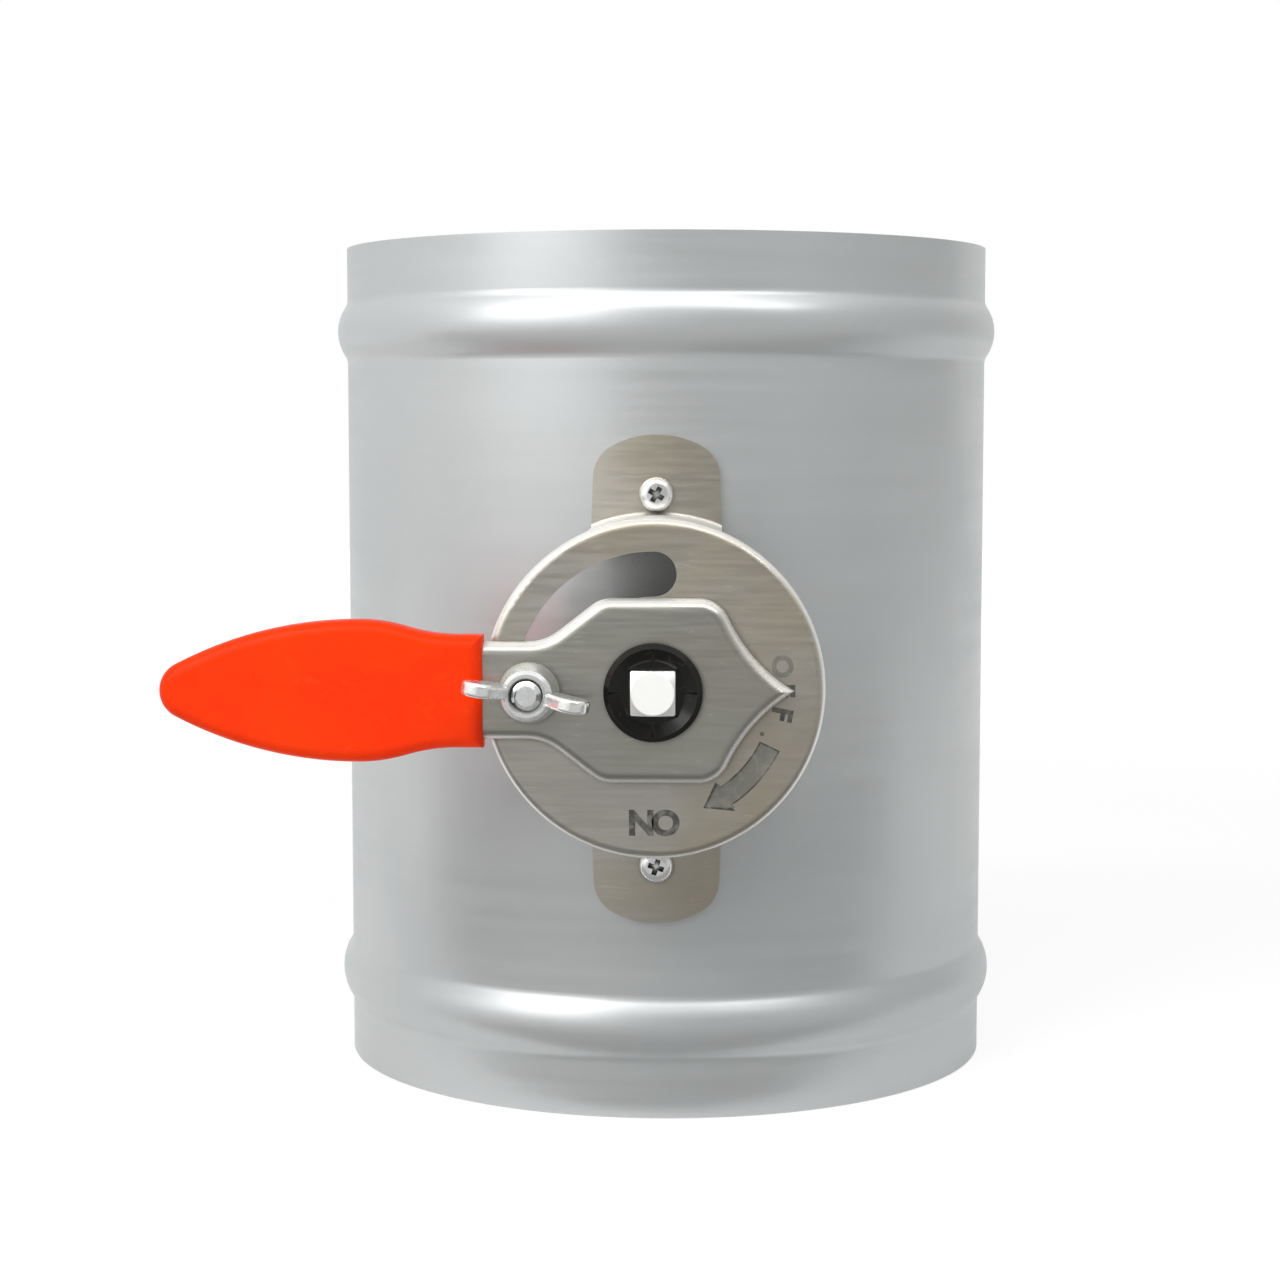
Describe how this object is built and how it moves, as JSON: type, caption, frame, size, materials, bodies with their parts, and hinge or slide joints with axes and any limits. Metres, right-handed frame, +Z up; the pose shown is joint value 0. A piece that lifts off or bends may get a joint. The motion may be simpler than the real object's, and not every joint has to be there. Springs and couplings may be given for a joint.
{
  "type": "round zone damper",
  "caption": "Round duct damper: beaded sheet sleeve with a sealed pivoting blade on a square shaft, turned by a lever on a slotted dial and clamped with a wing nut.",
  "frame": {"origin": "centre of the lower rim, on the duct axis", "axes": "+Z up along the duct, the shaft runs along Y, the dial and lever face -Y and the closed lever points to -X"},
  "size_m": [0.2359, 0.2572, 0.25],
  "materials": {
    "duct_steel": "smooth zinc grey, satin",
    "stainless": "brushed stainless, faintly stained",
    "bright_zinc": "bright zinc plate",
    "shaft_steel": "bright drawn bar",
    "spring_steel": "blackened spring steel",
    "blade_steel": "smooth zinc grey, satin",
    "rivet_steel": "plain zinc",
    "black_nylon": "moulded, fine grain",
    "pale_nylon": "natural nylon",
    "black_gloss": "glossy black moulding",
    "seal_rubber": "black rubber sheet",
    "orange_vinyl": "orange soft vinyl, satin"
  },
  "bodies": {
    "housing": {"duct_sleeve": "duct_steel", "dial_bracket": "stainless", "bracket_screws": "bright_zinc", "front_bearing": "black_nylon", "rear_bearing": "black_nylon"},
    "lever_set": {"square_shaft": "shaft_steel", "front_bush": "pale_nylon", "rear_bush": "pale_nylon", "thrust_washer": "bright_zinc", "retaining_ring": "spring_steel", "blade_upper": "blade_steel", "blade_lower": "blade_steel", "blade_seal": "seal_rubber", "blade_bolts": "bright_zinc", "blade_washers": "bright_zinc", "blade_nuts": "bright_zinc", "blade_rivets": "rivet_steel", "handle_plate": "stainless", "handle_grip": "orange_vinyl", "hub_insert": "black_gloss", "clamp_bolt": "bright_zinc", "slot_washer": "bright_zinc"},
    "washer_slide": {"nut_washer": "bright_zinc"},
    "nut": {"wing_nut": "bright_zinc"}
  },
  "joints": [
    {"name": "damper_turn", "type": "hinge", "parent": "housing", "child": "lever_set", "pos_m": [0, 0, 0.125], "axis": [0, 1, 0], "range_deg": [0, 90]},
    {"name": "washer_travel", "type": "slide", "parent": "lever_set", "child": "washer_slide", "axis": [0, -1, 0], "range_m": [0, 0.00125]},
    {"name": "wing_nut_turn", "type": "hinge", "parent": "washer_slide", "child": "nut", "pos_m": [-0.0332, -0.132, 0.125], "axis": [0, -1, 0], "range_deg": [0, 360]}
  ],
  "couplings": [
    {"joint": "washer_travel", "follows": "wing_nut_turn", "m_per_rad": 0.00019894}
  ]
}
